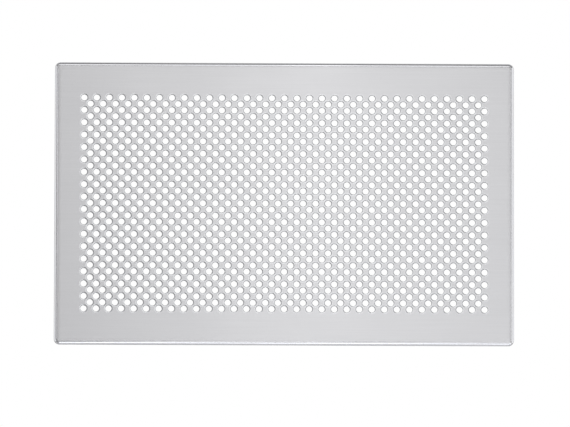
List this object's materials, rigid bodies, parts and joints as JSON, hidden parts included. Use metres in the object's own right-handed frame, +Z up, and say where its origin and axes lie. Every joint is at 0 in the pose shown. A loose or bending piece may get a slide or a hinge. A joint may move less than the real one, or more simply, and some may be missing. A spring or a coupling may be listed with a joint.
{
  "type": "queen excluder",
  "caption": "Flat perforated stainless sheet in a shallow rim; worker bees pass through its round holes and the queen can't.",
  "frame": {"origin": "centre of the outline, in the plane of the rim's underside, which the part rests on", "axes": "+X along the long side, +Y across to the back long side, +Z up through the perforated face"},
  "size_m": [0.367, 0.227, 0.006],
  "materials": {
    "sheet_steel": "stainless steel, fine brushed grain along the long side",
    "rim_steel": "stainless flat bar, grain along each bar, outer edge rounded",
    "weld_steel": "stainless weld metal, ground flush outside and as welded inside"
  },
  "bodies": {
    "root": {"perforated_sheet": "sheet_steel", "rim_bar_front": "rim_steel", "rim_bar_back": "rim_steel", "rim_bar_left": "rim_steel", "rim_bar_right": "rim_steel", "corner_weld_front_left": "weld_steel", "corner_weld_front_right": "weld_steel", "corner_weld_back_left": "weld_steel", "corner_weld_back_right": "weld_steel", "stitch_welds_front": "weld_steel", "stitch_welds_back": "weld_steel", "stitch_welds_left": "weld_steel", "stitch_welds_right": "weld_steel"}
  },
  "joints": []
}
